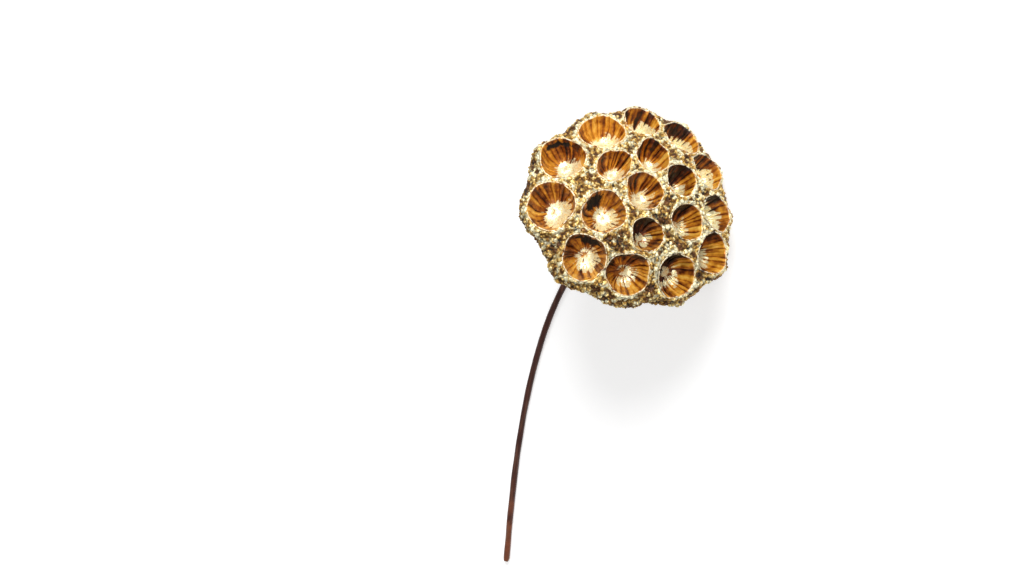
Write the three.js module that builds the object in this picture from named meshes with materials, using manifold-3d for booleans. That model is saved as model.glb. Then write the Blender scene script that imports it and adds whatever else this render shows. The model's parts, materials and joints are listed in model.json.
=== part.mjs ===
// A dried lotus pod with its cut stem, lying on a level surface.
// Millimetres, +Z up. The origin is on the surface, under the middle of the part's box,
// and the stem runs towards -Y.

import * as THREE from 'three';
import { mergeVertices } from 'three/addons/utils/BufferGeometryUtils.js';
import Module from 'manifold-3d';

// ---- driving dimensions ------------------------------------------------------------

const HEAD_HEIGHT = 59; // neck end to the top of the domed face
const DOME_RADIUS = 76; // radius of the domed face
const RIM_HEIGHT = 41; // neck end to the widest level
const RIM_MARGIN = 10.1; // from the middle of an outer cup out to the rim
const RIM_LEAN = 1.2; // how much more of that there is on the upper side as it lies
const RIM_NOTCH = 2.7; // depth of the notches between evenly spaced lobes of the rim
const FLUTE_DEPTH = 3.4; // depth of the flutes down the underside
const RIM_MEAN = 45; // radius that the side profile is drawn for
const NECK_ROUND = 4; // height up to which the neck stays evenly round
const SPANS_PER_LOBE = 6; // facets from one lobe of the rim to the next

const CUP_DEPTH = 11;
const CUP_SIDES = 16;
const OUTER_LEAN = 1.2; // the outer cups face outwards by more than the dome does

const STEM_RADIUS = 1.45;
const STEM_LENGTH = 178; // from the neck to the cut end
const STEM_SIDES = 10;
const STEM_STEPS = 48; // facets along the stem
const SOCKET_DEPTH = 6; // how far the stem goes into the neck
const SOCKET_SIDES = 16;
const FIT = 0.3; // clearance round the end of the stem

const FACE_ELEVATION = 37; // degrees from the surface up to the pod's axis
const FACE_HEADING = 53.5; // degrees from +X round to the way the face looks
const TIP_HEADING = 276; // the same for the way that the stem turns towards
const STEM_TURN = 60; // length of stem over which most of the turn is made
const LINE_STEP = 0.5; // length of one step along the stem's middle line
const STEPS_PER_POINT = 8;

// Seed cups, from the lowest point of the rim round: degrees, distance out from the axis,
// and half the mouth, first along the radius and then across it.
const OUTER_CUPS = [
  [12, 37.3, 8.1, 8.2],
  [41, 36.3, 7.7, 8],
  [73, 33.4, 8.6, 10],
  [109, 36.5, 9.3, 9.8],
  [143, 38, 9.9, 10],
  [183, 35.5, 9.3, 9.2],
  [216, 32.5, 9, 9.1],
  [254, 34.5, 9, 8.6],
  [286, 37.9, 8.2, 8.6],
  [314, 35.3, 7.7, 8],
  [344, 36.3, 7.3, 8.3],
];
const INNER_CUPS = [
  [345, 20, 7.6, 7.1],
  [31, 19.8, 8, 7.4],
  [90, 18, 6.8, 8],
  [160, 19, 9, 9],
  [230, 16, 6.8, 7.2],
  [293, 21.3, 7.5, 8],
  [50, 2.2, 8, 8.3],
];

const rad = THREE.MathUtils.degToRad;

// ---- materials ---------------------------------------------------------------------

const goldenPod = new THREE.MeshStandardMaterial({
  color: 0xd9b45a,
  roughness: 0.42,
  metalness: 0.85,
  flatShading: true,
});
const driedStem = new THREE.MeshStandardMaterial({ color: 0x2a1813, roughness: 0.5, metalness: 0 });

// ---- the head's outer form ---------------------------------------------------------

// Height of the domed face above the neck end, at a distance from the axis.
function faceHeight(radius) {
  return HEAD_HEIGHT - radius ** 2 / (2 * DOME_RADIUS);
}

// Half section of the head: neck, flared side, rolled rim, then the dome up to the axis.
function headProfile() {
  const side = [
    [0, 0],
    [4.6, 0],
    [7, 1.4],
    [9.6, 5],
    [12, 10.5],
    [15.5, 17],
    [22, 24],
    [31, 31],
    [39.5, 36.3],
    [43.8, 38.8],
    [RIM_MEAN, RIM_HEIGHT],
    [44.6, 44.2],
    [42.6, 46.8],
  ];
  const dome = [39, 33, 26, 18, 9, 0].map((radius) => [radius, faceHeight(radius)]);
  return [...side, ...dome].map(([radius, height]) => new THREE.Vector2(radius, height));
}

// Rim radius at an angle, and how deep in a notch between two lobes the angle is (0 to 1).
function rimAt(degrees) {
  const lobes = OUTER_CUPS.map(([angle, distance]) => ({ angle, distance }));
  lobes.push({ angle: lobes[0].angle + 360, distance: lobes[0].distance });
  const turned = (((degrees - lobes[0].angle) % 360) + 360) % 360 + lobes[0].angle;
  const next = lobes.findIndex((lobe) => lobe.angle > turned);
  const [from, to] = [lobes[next - 1], lobes[next]];
  const part = (turned - from.angle) / (to.angle - from.angle);
  const notch = Math.sin(Math.PI * part) ** 2;
  const distance = THREE.MathUtils.lerp(from.distance, to.distance, part);
  const margin = RIM_MARGIN - RIM_LEAN * Math.cos(rad(turned));
  const spread = (to.angle - from.angle) / (360 / OUTER_CUPS.length);
  return { radius: distance + margin - RIM_NOTCH * spread ** 2 * notch, notch };
}

function headBody() {
  const segments = OUTER_CUPS.length * SPANS_PER_LOBE;
  const geometry = new THREE.LatheGeometry(headProfile(), segments);
  geometry.rotateX(Math.PI / 2);
  const points = geometry.attributes.position;
  for (let i = 0; i < points.count; i++) {
    const [x, y, z] = [points.getX(i), points.getY(i), points.getZ(i)];
    const { radius, notch } = rimAt(THREE.MathUtils.radToDeg(Math.atan2(y, x)));
    const grown = THREE.MathUtils.smoothstep(z, NECK_ROUND, RIM_HEIGHT);
    const midway = z < RIM_HEIGHT ? Math.sin(Math.PI * grown) : 0;
    const flute = (FLUTE_DEPTH * notch * midway) / RIM_MEAN;
    const stretch = 1 + grown * (radius / RIM_MEAN - 1) - flute;
    points.setXYZ(i, x * stretch, y * stretch, z);
  }
  return geometry;
}

// ---- booleans ----------------------------------------------------------------------

const wasm = await Module();
wasm.setup();

function solid(geometry, matrix) {
  const bare = geometry.clone();
  if (matrix) bare.applyMatrix4(matrix);
  bare.deleteAttribute('normal');
  bare.deleteAttribute('uv');
  const merged = mergeVertices(bare, 1e-4);
  return new wasm.Manifold(
    new wasm.Mesh({
      numProp: 3,
      vertProperties: Float32Array.from(merged.attributes.position.array),
      triVerts: Uint32Array.from(merged.index.array),
    }),
  );
}

function geometryOf(manifold) {
  const { vertProperties, triVerts } = manifold.getMesh();
  const geometry = new THREE.BufferGeometry();
  geometry.setAttribute('position', new THREE.BufferAttribute(vertProperties, 3));
  geometry.setIndex(new THREE.BufferAttribute(triVerts, 1));
  geometry.computeVertexNormals();
  return geometry;
}

// ---- the head ----------------------------------------------------------------------

// A cup of unit mouth, deepest at its middle, with its opening towards +Z.
function cupCutter() {
  const section = [
    [0, -CUP_DEPTH],
    [0.42, -CUP_DEPTH * 0.93],
    [0.76, -CUP_DEPTH * 0.68],
    [0.93, -CUP_DEPTH * 0.34],
    [1, 0],
    [1.12, CUP_DEPTH * 0.4],
    [0, CUP_DEPTH * 0.4],
  ];
  const outline = section.map(([radius, height]) => new THREE.Vector2(radius, height));
  return new THREE.LatheGeometry(outline, CUP_SIDES).rotateX(Math.PI / 2);
}

// Where a cup stands on the dome: its middle on the face, its axis leaning outwards.
function cupPlace([angle, distance, halfAlong, halfAcross], lean) {
  const out = Math.atan(distance / DOME_RADIUS) * lean;
  return new THREE.Matrix4()
    .makeRotationZ(rad(angle))
    .multiply(new THREE.Matrix4().makeTranslation(distance, 0, faceHeight(distance)))
    .multiply(new THREE.Matrix4().makeRotationY(out))
    .multiply(new THREE.Matrix4().makeScale(halfAlong, halfAcross, 1));
}

function headGeometry() {
  const cutter = cupCutter();
  const bore = STEM_RADIUS + FIT;
  const socket = new THREE.CylinderGeometry(bore, bore, SOCKET_DEPTH * 2, SOCKET_SIDES);
  let body = solid(headBody());
  body = body.subtract(solid(socket.rotateX(Math.PI / 2)));
  for (const cup of OUTER_CUPS) body = body.subtract(solid(cutter, cupPlace(cup, OUTER_LEAN)));
  for (const cup of INNER_CUPS) body = body.subtract(solid(cutter, cupPlace(cup, 1)));
  return geometryOf(body);
}

function makeHead() {
  const head = new THREE.Mesh(headGeometry(), goldenPod);
  head.name = 'pod_head';
  head.rotation.set(0, rad(90 - FACE_ELEVATION), rad(FACE_HEADING), 'ZYX');
  head.updateMatrixWorld(true);
  head.position.z = -new THREE.Box3().setFromObject(head, true).min.z;
  head.updateMatrixWorld(true);
  return head;
}

// ---- the stem ----------------------------------------------------------------------

// The middle line of the stem: out of the neck along the pod's axis, over one even bend
// down to the surface, then along it, turning towards the tip.
function stemLine(neck) {
  const drop = 1 - Math.cos(rad(FACE_ELEVATION));
  const bend = ((neck.z - STEM_RADIUS) / drop) * rad(FACE_ELEVATION);
  const back = rad(FACE_HEADING + 180);
  const turn = rad(TIP_HEADING) - back;
  const point = neck.clone();
  const points = [axisPoint(neck, SOCKET_DEPTH - FIT), axisPoint(neck, SOCKET_DEPTH / 2), neck.clone()];
  for (let i = 1; i * LINE_STEP <= STEM_LENGTH; i++) {
    const along = (i - 0.5) * LINE_STEP;
    const pitch = rad(FACE_ELEVATION) * Math.max(0, 1 - along / bend);
    const heading = back + turn * (1 - Math.exp(-along / STEM_TURN));
    point.x += LINE_STEP * Math.cos(pitch) * Math.cos(heading);
    point.y += LINE_STEP * Math.cos(pitch) * Math.sin(heading);
    point.z -= LINE_STEP * Math.sin(pitch);
    if (i % STEPS_PER_POINT === 0) points.push(point.clone());
  }
  return points;
}

// A point on the pod's axis, a distance up from the neck's end.
function axisPoint(neck, distance) {
  const flat = Math.cos(rad(FACE_ELEVATION)) * distance;
  const [x, y] = [Math.cos(rad(FACE_HEADING)) * flat, Math.sin(rad(FACE_HEADING)) * flat];
  return neck.clone().add(new THREE.Vector3(x, y, Math.sin(rad(FACE_ELEVATION)) * distance));
}

function makeStem(head) {
  const neck = head.localToWorld(new THREE.Vector3(0, 0, 0));
  const path = new THREE.CatmullRomCurve3(stemLine(neck), false, 'centripetal');
  const section = new THREE.Shape();
  section.absarc(0, 0, STEM_RADIUS, 0, Math.PI * 2, false);
  const sweep = { steps: STEM_STEPS, extrudePath: path, curveSegments: STEM_SIDES / 2 };
  const stem = new THREE.Mesh(new THREE.ExtrudeGeometry(section, sweep), driedStem);
  stem.name = 'stem';
  return stem;
}

// ---- the whole part ----------------------------------------------------------------

const head = makeHead();
const lotusPod = new THREE.Group();
lotusPod.add(head, makeStem(head));

const box = new THREE.Box3().setFromObject(lotusPod, true);
const middle = box.getCenter(new THREE.Vector3());
lotusPod.position.set(-middle.x, -middle.y, -box.min.z);
lotusPod.updateMatrixWorld(true);

export default lotusPod;
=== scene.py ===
"""The finished look of a gilded dried lotus pod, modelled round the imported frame."""

import json
import math

import bpy
import numpy as np
from mathutils import Matrix, Vector

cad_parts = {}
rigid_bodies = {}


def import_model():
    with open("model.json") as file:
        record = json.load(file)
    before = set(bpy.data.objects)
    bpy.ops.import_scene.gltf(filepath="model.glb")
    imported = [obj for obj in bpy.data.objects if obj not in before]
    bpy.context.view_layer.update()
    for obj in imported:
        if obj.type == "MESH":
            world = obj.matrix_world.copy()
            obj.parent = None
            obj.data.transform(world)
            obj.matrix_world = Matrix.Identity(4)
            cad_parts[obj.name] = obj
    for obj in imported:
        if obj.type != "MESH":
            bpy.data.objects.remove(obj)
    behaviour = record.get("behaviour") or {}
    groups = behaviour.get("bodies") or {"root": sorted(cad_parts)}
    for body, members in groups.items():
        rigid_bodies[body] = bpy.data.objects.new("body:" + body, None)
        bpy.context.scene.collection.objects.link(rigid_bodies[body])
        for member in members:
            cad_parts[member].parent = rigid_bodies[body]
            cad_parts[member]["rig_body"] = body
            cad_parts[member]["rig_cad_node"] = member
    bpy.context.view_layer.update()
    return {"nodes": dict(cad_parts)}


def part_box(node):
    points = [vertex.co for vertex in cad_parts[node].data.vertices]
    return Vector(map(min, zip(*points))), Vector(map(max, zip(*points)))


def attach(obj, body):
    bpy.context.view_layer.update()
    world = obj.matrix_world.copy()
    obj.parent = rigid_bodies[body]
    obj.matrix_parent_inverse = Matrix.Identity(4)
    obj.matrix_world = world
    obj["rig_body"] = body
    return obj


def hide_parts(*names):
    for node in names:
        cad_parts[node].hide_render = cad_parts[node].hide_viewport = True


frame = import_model()

bl_info = {
    "name": "Gilded Lotus Pod",
    "version": (1, 0, 0),
    "blender": (4, 5, 0),
    "location": "View3D > Sidebar > Lotus Pod",
    "description": "Models a dried lotus pod with gold crust, pleated seed cups and a cut stem",
    "category": "Object",
}

MM = 0.001

# How the head lies: degrees up from the surface, round from +X, and its heights.
FACE_ELEVATION = 37
FACE_HEADING = 53.5
HEAD_HEIGHT = 59 * MM
DOME_RADIUS = 76 * MM
RIM_HEIGHT = 41 * MM

# Seed cups, from the lowest point of the rim round: degrees, millimetres out from the axis,
# and half the mouth, first along the radius and then across it.
OUTER_CUPS = [
    (12, 37.3, 8.1, 8.2),
    (41, 36.3, 7.7, 8),
    (73, 33.4, 8.6, 10),
    (109, 36.5, 9.3, 9.8),
    (143, 38, 9.9, 10),
    (183, 35.5, 9.3, 9.2),
    (216, 32.5, 9, 9.1),
    (254, 34.5, 9, 8.6),
    (286, 37.9, 8.2, 8.6),
    (314, 35.3, 7.7, 8),
    (344, 36.3, 7.3, 8.3),
]
INNER_CUPS = [
    (345, 20, 7.6, 7.1),
    (31, 19.8, 8, 7.4),
    (90, 18, 6.8, 8),
    (160, 19, 9, 9),
    (230, 16, 6.8, 7.2),
    (293, 21.3, 7.5, 8),
    (50, 2.2, 8, 8.3),
]
OUTER_LEAN = 1.2

# Where the gold crust ends under the rim, and how far the two pieces lap there.
CRUST_FOOT = 37.5 * MM
SEAM_LAP = 1.5 * MM

# Half sizes of the hollow under the crust, across the head and along its axis.
CORE_SIZE = (35 * MM, 35 * MM, 16.5 * MM)

# Every random draw starts from this number.
SEED = 18

# How near the surface below a piece may come, and how near places count as level or one.
FLOOR_GAP = 0.02 * MM
LEVEL_GAP = 0.02 * MM
MERGE_GAP = 0.01 * MM


# ---- small helpers -------------------------------------------------------------------


def only(*pieces):
    """Leaves just these objects selected, the first of them active."""
    if bpy.context.object and bpy.context.object.mode != "OBJECT":
        bpy.ops.object.mode_set(mode="OBJECT")
    bpy.ops.object.select_all(action="DESELECT")
    for piece in pieces:
        piece.select_set(True)
    bpy.context.view_layer.objects.active = pieces[0]


def points_of(piece):
    """The piece's vertices, one row each."""
    flat = np.empty(len(piece.data.vertices) * 3, np.float32)
    piece.data.vertices.foreach_get("co", flat)
    return flat.reshape(-1, 3).astype(float)


def set_points(piece, points):
    """Moves the piece's vertices to these places."""
    piece.data.vertices.foreach_set("co", points.astype(np.float32).ravel())
    piece.data.update()


def normals_of(piece):
    """The way out of the piece at each of its vertices."""
    flat = np.empty(len(piece.data.vertices) * 3, np.float32)
    piece.data.vertices.foreach_get("normal", flat)
    return flat.reshape(-1, 3).astype(float)


def store(piece, name, values):
    """Keeps one number for each vertex, for the materials."""
    attribute = piece.data.attributes.new(name, "FLOAT", "POINT")
    attribute.data.foreach_set("value", np.asarray(values, np.float32))


def apply_modifier(piece, kind, **settings):
    """Puts a modifier on the piece and applies it."""
    only(piece)
    made = piece.modifiers.new(kind.title(), kind)
    for name, value in settings.items():
        setattr(made, name, value)
    bpy.ops.object.modifier_apply(modifier=made.name)


def ramp(values, low, high):
    """0 up to low, 1 from high on, and smooth between."""
    part = np.clip((values - low) / (high - low), 0, 1)
    return part * part * (3 - 2 * part)


def copy_of_node(node, name):
    """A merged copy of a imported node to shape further."""
    piece = frame["nodes"][node].copy()
    piece.data = piece.data.copy()
    piece.name = piece.data.name = name
    piece.parent = None
    piece.hide_viewport = piece.hide_render = False
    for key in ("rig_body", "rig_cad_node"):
        del piece[key]
    bpy.context.scene.collection.objects.link(piece)
    only(piece)
    bpy.ops.object.mode_set(mode="EDIT")
    bpy.ops.mesh.select_all(action="SELECT")
    bpy.ops.mesh.remove_doubles(threshold=MERGE_GAP)
    bpy.ops.object.mode_set(mode="OBJECT")
    return piece


def above_floor(points):
    """Keeps everything off the surface that the pod lies on."""
    points[:, 2] = np.maximum(points[:, 2], FLOOR_GAP)
    return points


def cut_off(piece, matrix, height, above):
    """Cuts the piece level across the head at a height, takes one side away and closes it."""
    only(piece)
    bpy.ops.object.mode_set(mode="EDIT")
    bpy.ops.mesh.select_all(action="SELECT")
    bpy.ops.mesh.bisect(
        plane_co=matrix @ Vector((0, 0, height)),
        plane_no=matrix.to_3x3() @ Vector((0, 0, 1)),
        use_fill=True,
        clear_outer=above,
        clear_inner=not above,
    )
    bpy.ops.object.mode_set(mode="OBJECT")


def finish_piece(piece, finish):
    """Gives a piece its material and smooth shading, and lets it ride with the part."""
    piece.data.materials.clear()
    piece.data.materials.append(finish)
    only(piece)
    bpy.ops.object.shade_smooth()
    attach(piece, "root")


# ---- where the head is ---------------------------------------------------------------


def head_matrix():
    """Takes places on the head, with +Z out of its face and +X down it, to the frame."""
    turn = Matrix.Rotation(math.radians(FACE_HEADING), 3, "Z")
    turn = turn @ Matrix.Rotation(math.radians(90 - FACE_ELEVATION), 3, "Y")
    points = points_of(frame["nodes"]["pod_head"]) @ np.array(turn)
    end = points[points[:, 2] < points[:, 2].min() + LEVEL_GAP]
    neck = Vector((end.min(0) + end.max(0)) / 2)
    return Matrix.Translation(turn @ neck) @ turn.to_4x4()


def cup_matrix(cup, lean):
    """Where a cup stands on the head: its mouth's middle, +Z out of it, a unit mouth."""
    angle, distance, half_along, half_across = cup
    distance *= MM
    height = HEAD_HEIGHT - distance**2 / (2 * DOME_RADIUS)
    out = math.atan(distance / DOME_RADIUS) * lean
    return (
        Matrix.Rotation(math.radians(angle), 4, "Z")
        @ Matrix.Translation((distance, 0, height))
        @ Matrix.Rotation(out, 4, "Y")
        @ Matrix.Diagonal((half_along * MM, half_across * MM, MM, 1))
    )


def cup_matrices():
    """Where each cup stands in the frame, the outer ones first."""
    outer = [cup_matrix(cup, OUTER_LEAN) for cup in OUTER_CUPS]
    inner = [cup_matrix(cup, 1) for cup in INNER_CUPS]
    return [head_matrix() @ matrix for matrix in outer + inner]


def into(matrix, points):
    """The points as places in the matrix's own space."""
    inverse = np.array(matrix.inverted())
    return points @ inverse[:3, :3].T + inverse[:3, 3]


# ---- natural roughness ---------------------------------------------------------------


class Grains:
    """Packed grains of about one size: which one a point is on and how near its edge."""

    NEIGHBOURS = [(x, y, z) for x in (-1, 0, 1) for y in (-1, 0, 1) for z in (-1, 0, 1)]
    KINDS = 4096
    SHUFFLE = (73856093, 19349663, 83492791)
    FAR = 9.0
    GAP_WIDTH = 0.35
    LEAST_HEIGHT = 0.55

    def __init__(self, points, size, seed):
        self.table = np.random.default_rng(seed).random((self.KINDS, 6))
        scaled = points / size
        base = np.floor(scaled).astype(np.int64)
        self.first = np.full(len(points), self.FAR)
        self.second = np.full(len(points), self.FAR)
        self.own = np.zeros(len(points), np.int64)
        self.away = np.zeros((len(points), 3))
        for offset in self.NEIGHBOURS:
            self.consider(scaled, base + offset)

    def consider(self, scaled, cell):
        """Takes the grain of one cell where it is nearer than those met before."""
        key = np.bitwise_xor.reduce(cell * self.SHUFFLE, axis=1) % self.KINDS
        away = scaled - cell - self.table[key, :3]
        distance = np.linalg.norm(away, axis=1)
        nearer = distance < self.first
        self.second = np.where(nearer, self.first, np.minimum(self.second, distance))
        self.first = np.where(nearer, distance, self.first)
        self.own = np.where(nearer, key, self.own)
        self.away = np.where(nearer[:, None], away, self.away)

    def heights(self, tilt):
        """Rounded grains, each with its own flat tilt and size, 0 in the gaps."""
        gap = ramp(self.second - self.first, 0, self.GAP_WIDTH)
        lean = np.sum(self.away * (self.table[self.own, 3:] - 0.5), axis=1)
        size = self.LEAST_HEIGHT + (1 - self.LEAST_HEIGHT) * self.table[self.own, 3]
        return gap * (size + tilt * lean)

    def tints(self):
        """A number from 0 to 1 for each grain, the same all over it."""
        return self.table[self.own, 5]


# How the smooth noise is put together: sines in each layer, how much each finer layer
# fades, how tightly the sines bend and turn, and what brings the total to about 1.
SINES = 7
LAYER_FADE = 1.8
BENDS = 1.7
TURNS = 0.6
TOTAL_SCALE = 1.6


def waves(points, size, seed, layers=3):
    """Smooth noise of about -1 to 1, with bumps of one size and finer ones on them."""
    chooser = np.random.default_rng(seed)
    total = np.zeros(len(points))
    for layer in range(layers):
        for _ in range(SINES):
            way = chooser.normal(size=3)
            way /= np.linalg.norm(way)
            shift = chooser.random() * math.tau
            bend = np.sin(points @ chooser.normal(size=3) / size * BENDS + shift * 2)
            turn = points @ way / size * math.tau * TURNS * 2**layer
            total += np.sin(turn + shift + bend) / SINES / LAYER_FADE**layer
    return total * TOTAL_SCALE


# ---- shader arithmetic ---------------------------------------------------------------


class Flow:
    """A value on its way through a material. Arithmetic on it adds Math nodes."""

    def __init__(self, finish, socket):
        self.finish = finish
        self.socket = socket

    def __add__(self, other):
        return self.finish.math("ADD", self, other)

    def __radd__(self, other):
        return self.finish.math("ADD", other, self)

    def __sub__(self, other):
        return self.finish.math("SUBTRACT", self, other)

    def __rsub__(self, other):
        return self.finish.math("SUBTRACT", other, self)

    def __mul__(self, other):
        return self.finish.math("MULTIPLY", self, other)

    def __rmul__(self, other):
        return self.finish.math("MULTIPLY", other, self)

    def output(self, name):
        """Another output of the node that this value comes from."""
        return Flow(self.finish, self.socket.node.outputs[name])


class Finish:
    """A material being put together round one Principled surface."""

    def __init__(self, name, **fixed):
        self.material = bpy.data.materials.new(name)
        self.material.use_nodes = True
        self.tree = self.material.node_tree
        self.surface = self.tree.nodes["Principled BSDF"]
        for socket, value in fixed.items():
            self.surface.inputs[socket.replace("_", " ")].default_value = value
        self.place = self.node("ShaderNodeTexCoord").output("Object")

    def feed(self, socket, value):
        if isinstance(value, Flow):
            self.tree.links.new(value.socket, socket)
        elif socket.type == "RGBA" and len(value) == 3:
            socket.default_value = (*value, 1)
        else:
            socket.default_value = value

    def node(self, kind, settings=None, inputs=None, output=0):
        """Adds a node: its settings first, then the values or links of its sockets."""
        made = self.tree.nodes.new(kind)
        for name, value in (settings or {}).items():
            if name == "stops":
                self.set_stops(made.color_ramp, value)
            else:
                setattr(made, name, value)
        for key, value in (inputs or {}).items():
            self.feed(made.inputs[key], value)
        return Flow(self, made.outputs[output])

    @staticmethod
    def set_stops(color_ramp, stops):
        while len(color_ramp.elements) < len(stops):
            color_ramp.elements.new(1)
        for element, (position, color) in zip(color_ramp.elements, stops):
            element.position = position
            element.color = (*color, 1)

    def math(self, operation, first, second, clamp=False):
        settings = {"operation": operation, "use_clamp": clamp}
        return self.node("ShaderNodeMath", settings, {0: first, 1: second})

    def step(self, value, low, high):
        """0 below low, 1 above high and a smooth rise between."""
        settings = {"interpolation_type": "SMOOTHSTEP"}
        inputs = {"Value": value, "From Min": low, "From Max": high}
        return self.node("ShaderNodeMapRange", settings, inputs)

    def mix(self, factor, first, second):
        """Goes from the first colour to the second."""
        return self.node(
            "ShaderNodeMix", {"data_type": "RGBA"}, {0: factor, 6: first, 7: second}, output=2
        )

    def colors(self, value, *stops):
        return self.node("ShaderNodeValToRGB", {"stops": stops}, {"Fac": value})

    def noise(self, size, detail, roughness=0.55):
        inputs = {
            "Vector": self.place,
            "Scale": 1 / size,
            "Detail": detail,
            "Roughness": roughness,
        }
        return self.node("ShaderNodeTexNoise", None, inputs)

    def flakes(self, size):
        """Cells of one size, each with a colour of its own, and the red of that colour."""
        inputs = {"Vector": self.place, "Scale": 1 / size}
        cells = self.node("ShaderNodeTexVoronoi", {"feature": "F1"}, inputs).output("Color")
        return cells, self.node("ShaderNodeSeparateColor", None, {0: cells})

    def kept(self, name):
        """A number that the piece keeps for each vertex."""
        return self.node("ShaderNodeAttribute", {"attribute_name": name}, None, "Fac")

    def leaning(self, color, amount):
        """The surface's normal, leant by a colour that differs from grain to grain."""
        middle = self.vector("SUBTRACT", {0: color, 1: (0.5, 0.5, 0.5)})
        lean = self.vector("SCALE", {0: middle, "Scale": amount})
        straight = self.node("ShaderNodeNewGeometry").output("Normal")
        return self.vector("NORMALIZE", {0: self.vector("ADD", {0: straight, 1: lean})})

    def vector(self, operation, inputs):
        return self.node("ShaderNodeVectorMath", {"operation": operation}, inputs)

    def bump(self, height, distance, strength, normal=None):
        inputs = {"Height": height, "Distance": distance, "Strength": strength}
        if normal:
            inputs["Normal"] = normal
        return self.node("ShaderNodeBump", None, inputs)

    def wear(self, **inputs):
        """Links what varies over the surface."""
        for socket, value in inputs.items():
            self.feed(self.surface.inputs[socket.replace("_", " ")], value)
        return self.material


# ---- materials -----------------------------------------------------------------------


def crust_finish(settings):
    """Gold paint and coarse glitter: bright flakes, each at its own angle, over gaps darkened
    with painted shade.
    """
    made = Finish("gilded_crust", Roughness=0.35)
    flakes, own = made.flakes(settings.grain_size * 0.5)
    patches = made.noise(4.5 * MM, 3)
    pits = made.step(made.noise(1.7 * MM, 4), 0.5, 0.6)
    specks = made.step(made.noise(0.9 * MM, 3), 0.56, 0.62)
    rim = made.kept("rim")
    # Painted shade: darker in the low gaps between the grains; the specks are dark flecks of
    # their own.
    low = 1 - made.step(made.kept("grain"), 0.1, 0.52)
    shade = made.math("MAXIMUM", low * (0.7 + 0.3 * pits), specks * (0.4 + 0.5 * pits))
    shade = shade * (1 - 0.5 * rim)
    gold = made.colors(
        made.kept("tint") * 0.85 + own * 0.16 + patches * 0.6 + made.kept("lump") * 0.26
        + rim * 0.22 - 0.55,
        (0.14, (0.12, 0.045, 0.008)),
        (0.3, (0.38, 0.185, 0.03)),
        (0.44, (0.78, 0.5, 0.13)),
        (0.56, (1.0, 0.79, 0.36)),
        (0.68, (1.0, 0.93, 0.63)),
    )
    dark = made.mix(pits, (0.045, 0.013, 0.002), (0.005, 0.002, 0.001))
    return made.wear(
        Base_Color=made.mix(shade, gold, dark),
        Metallic=made.step(1 - shade, 0.1, 0.7) * 0.55,
        Roughness=0.24 + own.output("Green") * 0.3 + shade * 0.3,
        Normal=made.leaning(flakes, 0.7),
    )


def shaded_amber_wall(made, mottle):
    """Amber through red brown to nearly black, with painted highlights on the fold crests and
    painted shade in the creases and on one side of the wall.
    """
    tone = made.noise(5 * MM, 2) * 0.8 + mottle * 0.5 - 0.47
    # Painted highlight on the fold crests; painted shade in the creases and on one side of the
    # wall.
    tone += made.kept("fold") * 0.2 + made.kept("streak") * 0.5
    tone -= made.kept("shade") * 0.42 + made.kept("crease") * 0.28
    return made.colors(
        tone,
        (0.0, (0.012, 0.002, 0.001)),
        (0.16, (0.09, 0.014, 0.002)),
        (0.36, (0.34, 0.1, 0.007)),
        (0.58, (0.72, 0.31, 0.024)),
        (0.85, (0.94, 0.58, 0.11)),
    )


def gilded_and_highlit_bottom(made, mottle):
    """1 where gilding covers a cup's bottom, reaching higher on one side as a painted highlight,
    with an edge that is ragged and follows the folds.
    """
    cover = made.kept("gilt") + made.noise(3.4 * MM, 3) * 0.8 + mottle * 0.3
    cover += made.kept("fold") * 0.2 + made.kept("streak") * 0.1
    return made.step(cover - made.kept("crease") * 0.2, 1.52, 1.64)


def lining_finish():
    """Amber satin walls with painted shade and highlights, pale gold at the bottom that is partly
    a painted highlight, a worn cream lip, and black in the tears.
    """
    made = Finish("cup_lining", Roughness=0.3)
    mottle = made.noise(1.8 * MM, 5)
    specks = made.noise(0.7 * MM, 3, roughness=0.7)
    lip = made.kept("lip")
    tear = made.kept("tear")
    bottom = gilded_and_highlit_bottom(made, mottle)
    gold = made.mix(made.step(specks, 0.36, 0.5), (0.86, 0.58, 0.18), (1.0, 0.94, 0.62))
    pale = made.colors(
        made.noise(0.9 * MM, 4),
        (0.34, (0.22, 0.11, 0.03)),
        (0.46, (0.9, 0.7, 0.36)),
        (0.6, (1.0, 0.95, 0.76)),
    )
    color = made.mix(bottom, shaded_amber_wall(made, mottle), gold)
    color = made.mix(lip * made.step(mottle, 0.36, 0.5), color, pale)
    return made.wear(
        Base_Color=made.mix(tear, color, (0.004, 0.002, 0.001)),
        Metallic=(1 - tear) * (0.35 + 0.15 * bottom),
        Roughness=0.24 + mottle * 0.24 + tear * 0.4 + lip * 0.1,
        Normal=made.bump(specks, 0.1 * MM, 0.6),
    )


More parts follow.
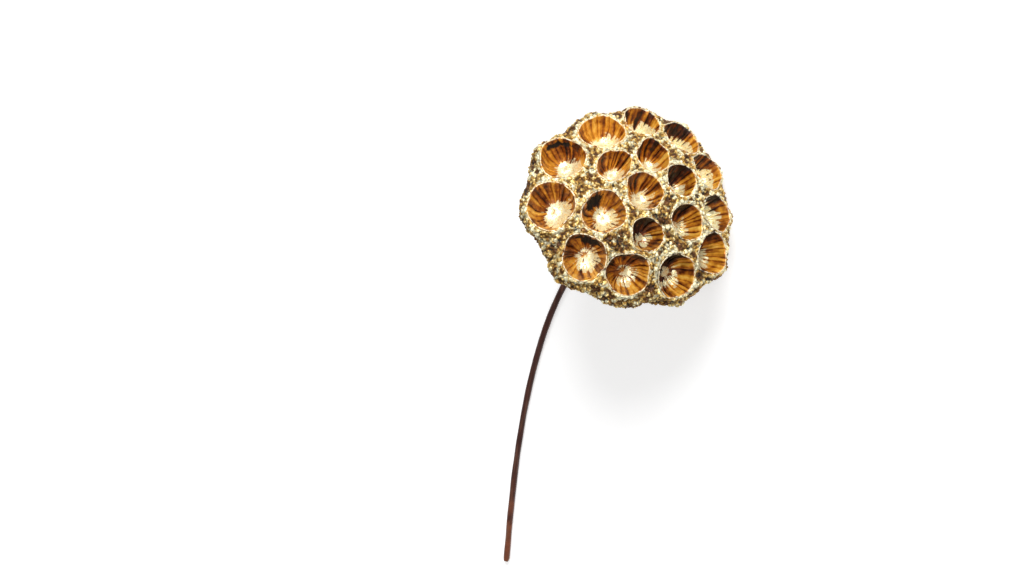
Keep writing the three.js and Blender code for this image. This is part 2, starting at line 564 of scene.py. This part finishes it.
def side_finish(settings):
    """The dried underside: brown, darker in the hollows with painted shade, gold on the ribs near
    the rim, a papery neck.
    """
    made = Finish("fluted_side", Roughness=0.5, Specular_IOR_Level=0.3)
    height = made.kept("height")
    rib = made.kept("rib")
    fibre = made.kept("fibre")
    mottle = made.noise(3 * MM, 5)
    # Darker in the hollows between the ribs and lighter on them: painted shade over the natural
    # brown.
    brown = made.colors(
        rib * 0.5 + fibre * 0.35 + mottle * 0.4 - 0.1,
        (0.15, (0.026, 0.005, 0.001)),
        (0.42, (0.1, 0.02, 0.004)),
        (0.72, (0.24, 0.075, 0.013)),
        (0.95, (0.6, 0.34, 0.09)),
    )
    # The paper is darker in the creases of its folds, which the fibre value carries: painted
    # shade, with the fibres' own streaks.
    paper = made.colors(
        fibre * 0.6 + mottle * 0.5,
        (0.3, (0.16, 0.075, 0.03)),
        (0.45, (0.48, 0.36, 0.23)),
        (0.75, (0.72, 0.61, 0.45)),
    )
    papery = 1 - made.step(height + (mottle - 0.5) * 0.25, 0.22, 0.42)
    flakes, own = made.flakes(settings.grain_size * 0.6)
    gild = made.step(height + (mottle - 0.5) * 0.7 + rib * 0.35, 1.0, 1.2)
    gild = made.math("MULTIPLY", gild, made.step(own + gild * 0.5, 0.35, 0.6), clamp=True)
    gold = made.mix(own, (0.6, 0.4, 0.12), (1.0, 0.9, 0.55))
    color = made.mix(gild, made.mix(papery, brown, paper), gold)
    lean = made.leaning(flakes, gild * 0.7)
    return made.wear(
        Base_Color=color,
        Metallic=gild * 0.8,
        Roughness=0.42 + papery * 0.35 - gild * 0.1 + mottle * 0.08,
        Normal=made.bump(made.noise(0.6 * MM, 4), 0.15 * MM, 0.7, lean),
    )


def stem_finish():
    """A nearly black stalk with a reddish sheen, redder towards its pale cut end."""
    made = Finish("dried_stem", Roughness=0.4, Specular_IOR_Level=0.3)
    along = made.kept("along")
    cut = made.kept("cut")
    rise = made.kept("rise")
    mottle = made.noise(5 * MM, 5)
    red = made.step(along + (mottle - 0.5) * 0.5, 0.72, 1.05)
    dark = made.mix(mottle, (0.014, 0.005, 0.004), (0.09, 0.026, 0.017))
    bark = made.mix(red, dark, (0.2, 0.06, 0.025))
    bark = made.mix(made.step(rise, 0.5, 1.0) * 0.5, bark, (0.16, 0.07, 0.04))
    wood = made.mix(made.noise(0.5 * MM, 3), (0.3, 0.17, 0.08), (0.62, 0.45, 0.28))
    return made.wear(
        Base_Color=made.mix(cut, bark, wood),
        Roughness=0.34 + mottle * 0.2 + cut * 0.3,
        Normal=made.bump(made.noise(0.8 * MM, 4), 0.12 * MM, 0.6),
    )


# ---- the crust: domed face and lobed rim ---------------------------------------------


# The waves that make a cup's mouth uneven: how many go round, and parts of the half mouth.
MOUTH_WAVES = ((2, 0.035), (3, 0.035), (4, 0.02), (5, 0.018), (7, 0.01))

# Round a cup, in half mouths out from its axis: where its wall ends, where its unevenness
# has faded and where its points end; in millimetres, how far up and down they go.
WALL_END = 1.02
FADE_END = 1.3
CUP_REACH = 1.5
CUP_TALL = 13

# How much wider than its lining a cup is cut, as a part of its half mouth.
LINING_ROOM = 0.045

# The crust's lumps and cracks, and how far it swells round the cups.
LUMP_SIZE = 5 * MM
LUMP_HEIGHT = 0.55 * MM
CRACK_SPACING = 8 * MM
RIM_SWELL = 0.3 * MM

# Out from a cup's axis, in half mouths: the middle and the width of the swell round it,
# and where the crust starts and is in full view. How near 0 the noise is in a crack.
SWELL_MIDDLE = 1.08
SWELL_WIDTH = 0.09
VIEW_START = (0.98, 1.06)
CRACK_EDGE = (0.02, 0.11)

# The part of the faces that stays where the crust isn't seen, and what counts as unseen.
HIDDEN_PART = 0.6
UNSEEN = 0.01


def uneven(angle, number):
    """How much wider than its plain oval a cup is at an angle, as a part of its mouth."""
    chooser = np.random.default_rng(SEED * 50 + number)
    total = np.zeros(len(angle))
    for turns, size in MOUTH_WAVES:
        total += size * np.sin(turns * angle + chooser.uniform(0, math.tau))
    return total


def shape_mouths(points):
    """Makes each cup's mouth as uneven as its lining, with room behind the lining.

    Gives the moved points, and how far out from the nearest cup's mouth each one is."""
    nearest = np.full(len(points), Grains.FAR)
    for number, matrix in enumerate(cup_matrices(), start=1):
        local = into(matrix, points)
        reach = np.hypot(local[:, 0], local[:, 1])
        near = np.flatnonzero((reach < CUP_REACH) & (np.abs(local[:, 2]) < CUP_TALL))
        own, reach = local[near], reach[near]
        angle = np.arctan2(own[:, 1], own[:, 0])
        wider = uneven(angle, number) * (1 - ramp(reach, WALL_END, FADE_END))
        room = LINING_ROOM * (1 - ramp(own[:, 2], -1.6, -0.6)) * (reach < WALL_END)
        own[:, :2] *= (1 + wider + room)[:, None]
        whole = np.array(matrix)
        points[near] = own @ whole[:3, :3].T + whole[:3, 3]
        nearest[near] = np.minimum(nearest[near], reach)
    return points, nearest


def hollow_out(crust, head):
    """Takes the hidden inside away, so that the crust is a shell a few millimetres thick."""
    bpy.ops.object.select_all(action="DESELECT")
    bpy.ops.mesh.primitive_uv_sphere_add(segments=64, ring_count=32, radius=1)
    core = bpy.context.object
    core.data.transform(
        head @ Matrix.Translation((0, 0, CRUST_FOOT)) @ Matrix.Diagonal((*CORE_SIZE, 1))
    )
    apply_modifier(crust, "BOOLEAN", operation="DIFFERENCE", object=core, solver="EXACT")
    bpy.data.objects.remove(core)


def visible(points, mouth, head):
    """1 on the outside of the crust and 0 on its hidden walls and hollow."""
    local = into(head, points)
    hollow = np.linalg.norm((local - [0, 0, CRUST_FOOT]) / CORE_SIZE, axis=1)
    above_foot = ramp(local[:, 2], CRUST_FOOT, CRUST_FOOT + 0.6 * MM)
    return ramp(mouth, *VIEW_START) * above_foot * ramp(hollow, 1.03, 1.12)


def thin_out(piece, seen):
    """Takes some of the faces away where the piece isn't seen."""
    group = piece.vertex_groups.new(name="hidden")
    group.add(np.flatnonzero(seen < UNSEEN).tolist(), 1, "REPLACE")
    apply_modifier(piece, "DECIMATE", ratio=HIDDEN_PART, vertex_group="hidden")
    piece.vertex_groups.clear()


def make_crust(settings):
    """The domed face and the rim: a shell with the cups open in it, rough with glitter."""
    head = head_matrix()
    crust = copy_of_node("pod_head", "gilded_crust")
    cut_off(crust, head, CRUST_FOOT, above=False)
    hollow_out(crust, head)
    apply_modifier(crust, "REMESH", mode="VOXEL", voxel_size=settings.face_mesh)
    apply_modifier(crust, "SMOOTH", factor=0.6, iterations=4)
    points, mouth = shape_mouths(points_of(crust))
    thin_out(crust, visible(points, mouth, head))
    normals = normals_of(crust)
    points, mouth = shape_mouths(points_of(crust))
    outside = visible(points, mouth, head)
    grains = Grains(points, settings.grain_size, SEED)
    small = Grains(points, settings.grain_size * 0.5, SEED + 1)
    height = grains.heights(0.9)
    fine = small.heights(0.6)
    lumps = waves(points, LUMP_SIZE, SEED + 2)
    crack = 1 - ramp(np.abs(waves(points, CRACK_SPACING, SEED + 3)), *CRACK_EDGE)
    rise = settings.grain_height * (height + 0.35 * fine - 0.35 - 0.9 * crack)
    rise += LUMP_HEIGHT * lumps
    rim = np.exp(-(((mouth - SWELL_MIDDLE) / SWELL_WIDTH) ** 2))
    rise = rise * (1 - 0.35 * rim) + RIM_SWELL * rim * (1 + lumps)
    moved = points + normals * (rise * outside)[:, None]
    set_points(crust, above_floor(moved))
    store(crust, "grain", np.clip(height * 0.7 + fine * 0.3 - 0.7 * crack, 0, 1))
    store(crust, "tint", 0.7 * grains.tints() + 0.3 * small.tints())
    store(crust, "lump", np.clip(0.5 + 0.5 * lumps, 0, 1))
    store(crust, "rim", rim)
    finish_piece(crust, crust_finish(settings))
    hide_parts("pod_head")


# ---- the underside and neck ----------------------------------------------------------


# How high the ribs, the fine fibres and the folds of the neck's skin stand, how far the
# side draws in under the crust, and how far out from the axis the neck's wall starts.
RIB_HEIGHT = 0.7 * MM
FIBRE_HEIGHT = 0.16 * MM
PAPER_FOLD = 1.1 * MM
SEAM_INSET = 0.5 * MM
NECK_WALL = (4 * MM, 6.5 * MM)


def make_side(settings):
    """The underside and the neck: ribbed down its length, with wrinkled skin at the neck."""
    head = head_matrix()
    side = copy_of_node("pod_head", "fluted_side")
    cut_off(side, head, CRUST_FOOT + SEAM_LAP, above=True)
    apply_modifier(side, "REMESH", mode="VOXEL", voxel_size=settings.side_mesh)
    apply_modifier(side, "SMOOTH", factor=0.6, iterations=5)
    points, normals = points_of(side), normals_of(side)
    local = into(head, points)
    reach = np.hypot(local[:, 0], local[:, 1])
    angle = np.arctan2(local[:, 1], local[:, 0])
    height = local[:, 2] / CRUST_FOOT
    ring = np.stack([np.cos(angle), np.sin(angle), local[:, 2] / (70 * MM)], axis=1)
    fibre = waves(ring, 0.13, SEED + 5, 4)
    rib = 1 - 2 * np.clip(1.5 * np.abs(waves(ring, 0.6, SEED + 6, 2)), 0, 1) ** 0.7
    crumple = waves(local * [1, 1, 0.6], 7 * MM, SEED + 7, 4)
    fold = 1 - 2 * np.abs(np.tanh(1.6 * crumple))
    walls = ramp(reach, *NECK_WALL)
    papery = 1 - ramp(height, 0.2, 0.45)
    rise = RIB_HEIGHT * rib * ramp(height, 0.15, 0.45) + FIBRE_HEIGHT * fibre
    rise += papery * PAPER_FOLD * fold - SEAM_INSET * ramp(height, 0.9, 0.98)
    set_points(side, above_floor(points + normals * (rise * walls)[:, None]))
    store(side, "height", np.clip(height, 0, 1))
    store(side, "rib", np.clip(0.5 + 0.5 * rib, 0, 1))
    # The neck's folds go into fibre as well, so that their creases get painted shade.
    store(side, "fibre", np.clip(0.5 + 0.3 * fibre + 0.3 * papery * fold, 0, 1))
    finish_piece(side, side_finish(settings))


# ---- the cup linings -----------------------------------------------------------------

# The lining's section: parts of the half mouth out, and millimetres up. The inside runs
# from the lip down to the small point in the middle of the bottom, the outside back up.
INSIDE = [
    (1.005, 0.6),
    (0.985, 0.45),
    (0.97, 0.0),
    (0.955, -1.2),
    (0.925, -3.0),
    (0.86, -5.2),
    (0.76, -7.2),
    (0.6, -8.9),
    (0.42, -9.85),
    (0.2, -10.15),
    (0.08, -10.1),
    (0.04, -9.85),
]
OUTSIDE = [
    (0.4, -10.9),
    (0.8, -8.3),
    (0.98, -4.2),
    (1.04, -0.6),
    (1.035, 0.3),
]
LINING_DEPTH = INSIDE[0][1] - min(height for _, height in INSIDE)

# The half mouth, in millimetres, for which the rows down the inside are evenly spaced.
USUAL_HALF_MOUTH = 8

# Rows down the inside, columns round it, and the spans in which the mouth's edge is found.
INSIDE_ROWS = 28
PLEAT_COLUMNS = 180
LIP_SPANS = 24

# A point this little outside the section still counts as on the inside wall.
WALL_MARGIN = 0.012

# Folds in the wall for each millimetre of half mouth: the main ones and the fine ones.
MAIN_FOLDS = 2.3
FINE_FOLDS = 6

# As parts of the half mouth: how far the wall crumples and a tear dents it, and how far
# the lip wavers in and out. In millimetres: how ragged the lip is.
CRUMPLE = 0.015
TEAR_DENT = 0.02
LIP_WAVER = 0.016
LIP_RAGS = 0.35

# The edge of a mouth: heights in millimetres and how far out it is there, how near to that
# a point of the edge lies, and the greatest height.
EDGE_HEIGHTS = (-3.7, 0, 4.4)
EDGE_REACHES = (0.93, 1, 1.12)
EDGE_MARGIN = 0.035
EDGE_TALL = 4.3

# Ways round the head, in degrees: the side of each cup where the gilding lies thickest, partly as
# a painted highlight, and the side of its wall that gets the most painted shade.
GILT_AND_HIGHLIGHT_SIDE = 265
PAINTED_SHADE_SIDE = 50

# The cups on these sides of the head: bright amber all round with little painted shade, with the
# most gilding and painted highlight, with the darkest painted shade on their walls, with the
# least gilding.
LEAST_PAINTED_SHADE_SIDE = 105
MOST_GILT_AND_HIGHLIGHT_SIDE = 5
DARKEST_PAINTED_SHADE_SIDE = 280
BARE_SIDE = 235


def even_rows(section, rows):
    """The section's points spread evenly along it."""
    section = np.array(section, float)
    steps = np.linalg.norm(np.diff(section * [USUAL_HALF_MOUTH, 1], axis=0), axis=1)
    along = np.concatenate([[0], np.cumsum(steps)])
    wanted = np.linspace(0, along[-1], rows)
    return np.stack([np.interp(wanted, along, section[:, i]) for i in (0, 1)], axis=1)


def plain_lining():
    """A lining of unit mouth and millimetre depth, drawn out ring by ring from its lip."""
    inside = even_rows(INSIDE, INSIDE_ROWS)
    bpy.ops.object.select_all(action="DESELECT")
    radius, height = inside[0]
    bpy.ops.mesh.primitive_circle_add(
        vertices=PLEAT_COLUMNS, radius=radius, fill_type="NOTHING", location=(0, 0, height)
    )
    lining = bpy.context.object
    bpy.ops.object.transform_apply(location=True)
    bpy.ops.object.mode_set(mode="EDIT")
    bpy.ops.mesh.select_all(action="SELECT")
    extrude_rings(inside[0], inside[1:])
    bpy.ops.mesh.merge(type="CENTER")
    bpy.ops.object.mode_set(mode="OBJECT")
    select_ring(lining, *inside[0])
    bpy.ops.object.mode_set(mode="EDIT")
    extrude_rings(inside[0], OUTSIDE[::-1])
    bpy.ops.mesh.merge(type="CENTER")
    bpy.ops.mesh.select_all(action="SELECT")
    bpy.ops.mesh.normals_make_consistent(inside=False)
    bpy.ops.object.mode_set(mode="OBJECT")
    return lining


def extrude_rings(start, rings):
    """Draws the selected ring out through these (radius, height) places."""
    radius, height = start
    for next_radius, next_height in rings:
        bpy.ops.mesh.extrude_edges_move(
            TRANSFORM_OT_translate={"value": (0, 0, next_height - height)}
        )
        scale = next_radius / radius
        bpy.ops.transform.resize(value=(scale, scale, 1), center_override=(0, 0, next_height))
        radius, height = next_radius, next_height


# How near a ring a vertex on it is, in the plain lining's own units.
RING_MARGIN = 1e-4


def select_ring(piece, radius, height):
    """Selects the ring of vertices at a radius and a height."""
    only(piece)
    bpy.ops.object.mode_set(mode="EDIT")
    bpy.ops.mesh.select_mode(type="VERT")
    bpy.ops.mesh.select_all(action="DESELECT")
    bpy.ops.object.mode_set(mode="OBJECT")
    for vertex in piece.data.vertices:
        reach = math.hypot(vertex.co.x, vertex.co.y)
        vertex.select = math.dist((reach, vertex.co.z), (radius, height)) < RING_MARGIN


def pleats(angle, depth, count, chooser):
    """Folds that run from the lip to the bottom, uneven and a little twisted, 0 to 1.

    Gives how high each point is on its fold, and how near a crease."""
    warp = sum(
        chooser.uniform(0.25, 0.6) / turns * np.sin(turns * angle + chooser.uniform(0, math.tau))
        for turns in (2, 3, 5, 7)
    )
    twist = chooser.uniform(-0.15, 0.15) * depth + 0.02 * np.sin(depth * 7 + 3 * angle)
    phase = (angle + warp * 0.55 + twist) * count / math.tau
    part = phase % 1
    number = (np.floor(phase) % count).astype(int)
    lean = chooser.uniform(0.25, 0.75, count)[number]
    size = chooser.uniform(0.3, 1.0, count)[number]
    rise = np.where(part < lean, part / lean, (1 - part) / (1 - lean))
    crease = (1 - ramp(np.minimum(part, 1 - part), 0.03, 0.18)) * size
    return (1 - (1 - rise) ** 2) * size, crease


def pleat_lining(lining, number, cup, matrix, settings):
    """Folds the plain lining's inside wall, tears some, and keeps what its colours need."""
    seed = SEED * 100 + number
    chooser = np.random.default_rng(seed)
    half_mouth = (cup[2] + cup[3]) / 2
    points = points_of(lining)
    reach = np.hypot(points[:, 0], points[:, 1])
    angle = np.arctan2(points[:, 1], points[:, 0])
    inside = reach < np.interp(points[:, 2], *section_at(INSIDE)) + WALL_MARGIN
    depth = np.clip((INSIDE[0][1] - points[:, 2]) / LINING_DEPTH, 0, 1)
    major, crease = pleats(angle, depth, round(half_mouth * MAIN_FOLDS), chooser)
    minor, _ = pleats(angle, depth, round(half_mouth * FINE_FOLDS), chooser)
    fold = np.clip(0.85 * major + 0.2 * minor, 0, 1)
    fade = (0.15 + 0.85 * ramp(depth, 0.03, 0.2)) * ramp(reach, 0.06, 0.45)
    away = np.stack([np.cos(angle), np.sin(angle)], axis=1)
    tear = torn(angle, depth, number) * inside
    crumple = waves(points * [half_mouth, half_mouth, 1], 3.5, seed + 40)
    push = settings.pleat_height / MM / half_mouth * fade * (fold - 0.1)
    push = np.where(inside, push + CRUMPLE * fade * crumple - TEAR_DENT * tear, 0)
    ring = np.concatenate([away * 1.2, angle[:, None] * 0], axis=1)
    lip = ramp(points[:, 2], 0.1, 0.45)
    ragged = waves(ring, 0.5, seed + 80, 4)
    moved = points.copy()
    moved[:, :2] *= (1 + uneven(angle, number))[:, None]
    moved[:, :2] -= away * (push + LIP_WAVER * lip * waves(ring, 0.3, seed + 90))[:, None]
    moved[:, 2] += np.where(inside, 0.5 * fade * (fold - 0.4) * ramp(reach, 0.92, 0.5), 0)
    moved[:, 2] += lip * (LIP_RAGS * ragged - 0.1)
    edge = np.interp(angle, *lip_heights(matrix), period=math.tau)
    moved[:, 2] += edge * ramp(points[:, 2], -6, 0)
    set_points(lining, moved)
    store(lining, "fold", np.clip(fold * (1 - tear), 0, 1))
    store(lining, "crease", crease * fade)
    store(lining, "lip", lip)
    store(lining, "tear", tear)
    store_light_and_gilt(lining, number, cup, angle, depth, reach)


def store_light_and_gilt(lining, number, cup, angle, depth, reach):
    """Keeps the painted shade on one side of a lining's wall, its gilding with a painted
    highlight on one side, and its streaks, at each vertex.
    """
    heading = angle + math.radians(cup[0])
    # Gilding lies deepest in the bottom; what it gains on one side of each cup, and on the cups
    # of one side of the head, is a painted highlight.
    gilt = depth + 0.28 * np.cos(heading - math.radians(GILT_AND_HIGHLIGHT_SIDE)) * ramp(depth, 0.1, 0.5)
    gilt = np.where(reach < 0.3, np.maximum(gilt, 1), gilt)
    outer = number <= len(OUTER_CUPS)
    gilt += 0.42 * toward(cup, MOST_GILT_AND_HIGHLIGHT_SIDE) * outer - 0.12 * toward(cup, BARE_SIDE)
    rays = np.stack([np.cos(angle) * 9, np.sin(angle) * 9, depth * 1.3], axis=1)
    # Painted shade: one side of each wall darker, most on the cups of one side of the head, least
    # on those of another, fading down the wall.
    deep = toward(cup, DARKEST_PAINTED_SHADE_SIDE)
    turned = np.cos(heading - math.radians(PAINTED_SHADE_SIDE + 60 * deep))
    dark = ramp(turned, -0.2 - 0.3 * deep, 0.9 - 0.5 * deep)
    dark *= 1 - 0.65 * toward(cup, LEAST_PAINTED_SHADE_SIDE) + 0.8 * deep
    store(lining, "shade", dark * (1 - (0.6 - 0.2 * deep) * depth))
    store(lining, "gilt", gilt)
    streak = waves(rays, 3, SEED * 100 + number + 60, 4)
    store(lining, "streak", np.clip(0.5 + 0.5 * streak, 0, 1))


def toward(cup, side):
    """1 for a cup on a side of the head, falling to 0 for one a quarter round from it."""
    return float(ramp(math.cos(math.radians(cup[0] - side)), 0.1, 0.85))


def lip_heights(matrix):
    """How high the edge of a cup's mouth is all round it: angles, and millimetres up."""
    local = into(matrix, points_of(frame["nodes"]["pod_head"]))
    reach = np.hypot(local[:, 0], local[:, 1])
    edge = np.interp(local[:, 2], EDGE_HEIGHTS, EDGE_REACHES)
    near = local[(np.abs(reach - edge) < EDGE_MARGIN) & (np.abs(local[:, 2]) < EDGE_TALL)]
    turn = np.arctan2(near[:, 1], near[:, 0])
    angles = []
    heights = []
    for middle in np.linspace(-math.pi, math.pi, LIP_SPANS, endpoint=False):
        off = np.abs((turn - middle + math.pi) % math.tau - math.pi)
        close = near[off < math.pi / LIP_SPANS, 2]
        if len(close):
            angles.append(middle)
            heights.append(close.max())
    return angles, heights


def section_at(section):
    """Heights in rising order and the section's radius at each."""
    rows = sorted((height, radius) for radius, height in section)
    return [row[0] for row in rows], [row[1] for row in rows]


# Cups whose lining is torn: the tear's angle, half width, depth and half height.
TORN_CUPS = {
    4: (-0.8, 0.75, 0.3, 0.15),
    6: (3.6, 0.85, 0.6, 0.34),
    7: (-2.75, 0.85, 0.42, 0.2),
    13: (2.8, 0.3, 0.12, 0.12),
    15: (-1.35, 0.7, 0.58, 0.42),
}


def torn(angle, depth, number):
    """1 where the lining is torn open: a ragged dark patch in a few of the cups."""
    if number not in TORN_CUPS:
        return np.zeros(len(angle))
    middle, width, level, tall = TORN_CUPS[number]
    off = (angle - middle + math.pi) % math.tau - math.pi
    ragged = waves(np.stack([angle * 3, depth * 9, depth * 0], axis=1), 1.4, number)
    return 1 - ramp(np.hypot(off / width, (depth - level) / tall) + 0.3 * ragged, 0.75, 1.0)


def make_linings(settings):
    """The linings of all the seed cups, each a copy of the plain one pleated in its own way."""
    plain = plain_lining()
    finish = lining_finish()
    for number, (cup, matrix) in enumerate(zip(OUTER_CUPS + INNER_CUPS, cup_matrices()), start=1):
        lining = plain.copy()
        lining.data = plain.data.copy()
        lining.name = lining.data.name = f"cup_lining_{number:02d}"
        bpy.context.scene.collection.objects.link(lining)
        pleat_lining(lining, number, cup, matrix, settings)
        lining.data.transform(matrix)
        finish_piece(lining, finish)
    bpy.data.objects.remove(plain)


# ---- the stem ------------------------------------------------------------------------

# How wide and high the stem's grooves are, its longer swellings, and the cut end's length.
GROOVE_WIDTH = 1.1 * MM
GROOVE_HEIGHT = 0.07 * MM
SWELL_LENGTH = 17 * MM
SWELL_HEIGHT = 0.08 * MM
CUT_LENGTH = (0.05 * MM, 0.5 * MM)

def make_stem():
    """The stalk: a copy of the plain rod, rounder, grooved lengthwise and a little uneven."""
    stem = copy_of_node("stem", "dried_stem")
    bpy.ops.object.mode_set(mode="EDIT")
    bpy.ops.mesh.select_all(action="SELECT")
    bpy.ops.mesh.tris_convert_to_quads(face_threshold=1.0, shape_threshold=1.5)
    bpy.ops.object.mode_set(mode="OBJECT")
    apply_modifier(stem, "SUBSURF", levels=2, render_levels=2)
    points, normals = points_of(stem), normals_of(stem)
    low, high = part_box("stem")
    along = (high.y - points[:, 1]) / (high.y - low.y)
    rise = waves(points * [1, 0.12, 1], GROOVE_WIDTH, SEED + 11, 2)
    swell = waves(points, SWELL_LENGTH, SEED + 12, 2)
    end = 1 - ramp(points[:, 1] - low.y, *CUT_LENGTH)
    shift = (GROOVE_HEIGHT * rise + SWELL_HEIGHT * swell) * (1 - end)
    set_points(stem, above_floor(points + normals * shift[:, None]))
    store(stem, "along", along)
    store(stem, "rise", np.clip(0.5 + 0.5 * rise, 0, 1))
    store(stem, "cut", end)
    finish_piece(stem, stem_finish())
    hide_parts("stem")


# ---- floor, light and camera ---------------------------------------------------------

# Degrees: how much steeper than the face's own way the camera looks down, and its roll.
VIEW_TILT = 25
VIEW_LEAN = 42

# The lens and the sensor in the camera's own millimetres, how wide a field it takes in at
# the face, and how far the middle of that field is from the rim's middle.
LENS = 90
SENSOR = 36
VIEW_WIDTH = 425 * MM
AIM_RIGHT = 48.9 * MM
AIM_UP = 32.6 * MM

FLOOR_SIZE = 8
FLOOR_GLOW = 0.42
SKY_STRENGTH = 0.34
NEAREST_SEEN = 0.01


def view_axes():
    """Right, up and backward for the camera, which looks down on the face."""
    face = head_matrix().to_3x3() @ Vector((0, 0, 1))
    level = Vector((face.x, face.y, 0)).normalized()
    rise = math.radians(FACE_ELEVATION + VIEW_TILT)
    back = level * math.cos(rise) + Vector((0, 0, 1)) * math.sin(rise)
    fall = (face - back * face.dot(back)).normalized()
    side = back.cross(fall)
    lean = math.radians(VIEW_LEAN)
    right = fall * math.cos(lean) - side * math.sin(lean)
    up = fall * math.sin(lean) + side * math.cos(lean)
    return right, up, back


def add_sun(name, way, spread, strength):
    """A soft, even light from the given way, its disc so many degrees across."""
    data = bpy.data.lights.new(name, "SUN")
    data.angle = math.radians(spread)
    data.energy = strength
    light = bpy.data.objects.new(name, data)
    bpy.context.scene.collection.objects.link(light)
    light.rotation_euler = way.to_track_quat("Z", "Y").to_euler()


def make_floor():
    """The pale surface that the pod lies on."""
    bpy.ops.object.select_all(action="DESELECT")
    bpy.ops.mesh.primitive_plane_add(size=FLOOR_SIZE, location=(0, 0, 0))
    floor = bpy.context.object
    floor.name = "floor"
    plain = Finish(
        "pale_floor",
        Base_Color=(0.8, 0.8, 0.8, 1),
        Roughness=0.9,
        Emission_Color=(1, 1, 1, 1),
        Emission_Strength=FLOOR_GLOW,
    )
    floor.data.materials.append(plain.material)


def make_lights(right, up, back):
    """A key light from over the camera, a weaker fill beside it and an even white sky."""
    add_sun("key", back + up * 0.75 - right * 0.1, spread=26, strength=2.7)
    add_sun("fill", back - up * 0.25 - right * 0.2, spread=30, strength=0.7)
    world = bpy.data.worlds.new("studio")
    bpy.context.scene.world = world
    world.use_nodes = True
    sky = world.node_tree.nodes["Background"]
    sky.inputs["Color"].default_value = (1, 1, 1, 1)
    sky.inputs["Strength"].default_value = SKY_STRENGTH


def make_camera(right, up, back):
    """The camera, a long way off, looking down on the pod's face."""
    data = bpy.data.cameras.new("camera")
    data.lens = LENS
    data.sensor_width = SENSOR
    data.clip_start = NEAREST_SEEN
    camera = bpy.data.objects.new("camera", data)
    bpy.context.scene.collection.objects.link(camera)
    aim = head_matrix() @ Vector((0, 0, RIM_HEIGHT)) - right * AIM_RIGHT - up * AIM_UP
    matrix = Matrix((right, up, back)).transposed().to_4x4()
    matrix.translation = aim + back * VIEW_WIDTH * LENS / SENSOR
    camera.matrix_world = matrix
    bpy.context.scene.camera = camera


def make_stage():
    """The floor, the lights and the camera, and colours shown as they are."""
    axes = view_axes()
    make_floor()
    make_lights(*axes)
    make_camera(*axes)
    bpy.context.scene.view_settings.view_transform = "Standard"


# ---- add-on --------------------------------------------------------------------------


class LotusPodSettings(bpy.types.PropertyGroup):
    """What a user would change."""

    grain_size: bpy.props.FloatProperty(
        name="Grain Size",
        description="Size of the flakes in the gold crust",
        default=1.7 * MM,
        unit="LENGTH",
    )
    grain_height: bpy.props.FloatProperty(
        name="Grain Height",
        description="How far the flakes stand up",
        default=0.75 * MM,
        unit="LENGTH",
    )
    pleat_height: bpy.props.FloatProperty(
        name="Pleat Height",
        description="Depth of the folds in the cup linings",
        default=0.95 * MM,
        unit="LENGTH",
    )
    face_mesh: bpy.props.FloatProperty(
        name="Face Mesh", description="Edge length on the crust", default=0.42 * MM, unit="LENGTH"
    )
    side_mesh: bpy.props.FloatProperty(
        name="Side Mesh", description="Edge length below it", default=0.6 * MM, unit="LENGTH"
    )


class LOTUS_OT_crust(bpy.types.Operator):
    """Model the domed face and lobed rim with their gold crust"""

    bl_idname = "lotus.crust"
    bl_label = "Gilded Crust"

    def execute(self, context):
        make_crust(context.scene.lotus_pod)
        return {"FINISHED"}


class LOTUS_OT_side(bpy.types.Operator):
    """Model the fluted underside and the papery neck"""

    bl_idname = "lotus.side"
    bl_label = "Fluted Side"

    def execute(self, context):
        make_side(context.scene.lotus_pod)
        return {"FINISHED"}


class LOTUS_OT_linings(bpy.types.Operator):
    """Model the pleated linings of the seed cups"""

    bl_idname = "lotus.linings"
    bl_label = "Cup Linings"

    def execute(self, context):
        make_linings(context.scene.lotus_pod)
        return {"FINISHED"}


class LOTUS_OT_stem(bpy.types.Operator):
    """Model the dried stem with its cut end"""

    bl_idname = "lotus.stem"
    bl_label = "Dried Stem"

    def execute(self, context):
        make_stem()
        return {"FINISHED"}


class LOTUS_OT_stage(bpy.types.Operator):
    """Set up the floor, the studio light and the camera"""

    bl_idname = "lotus.stage"
    bl_label = "Stage"

    def execute(self, context):
        make_stage()
        return {"FINISHED"}


class LOTUS_PT_panel(bpy.types.Panel):
    """Lists the steps and the sizes"""

    bl_idname = "LOTUS_PT_panel"
    bl_label = "Lotus Pod"
    bl_space_type = "VIEW_3D"
    bl_region_type = "UI"
    bl_category = "Lotus Pod"

    def draw(self, context):
        for name in LotusPodSettings.__annotations__:
            self.layout.prop(context.scene.lotus_pod, name)
        for operator in OPERATORS:
            self.layout.operator(operator.bl_idname)


OPERATORS = (LOTUS_OT_crust, LOTUS_OT_side, LOTUS_OT_linings, LOTUS_OT_stem, LOTUS_OT_stage)
CLASSES = (LotusPodSettings, *OPERATORS, LOTUS_PT_panel)


def register():
    for each in CLASSES:
        bpy.utils.register_class(each)
    bpy.types.Scene.lotus_pod = bpy.props.PointerProperty(type=LotusPodSettings)


def unregister():
    del bpy.types.Scene.lotus_pod
    for each in reversed(CLASSES):
        bpy.utils.unregister_class(each)


def main():
    """Makes every piece and the stage."""
    register()
    bpy.ops.lotus.crust()
    bpy.ops.lotus.side()
    bpy.ops.lotus.linings()
    bpy.ops.lotus.stem()
    bpy.ops.lotus.stage()


if __name__ == "__main__":
    main()
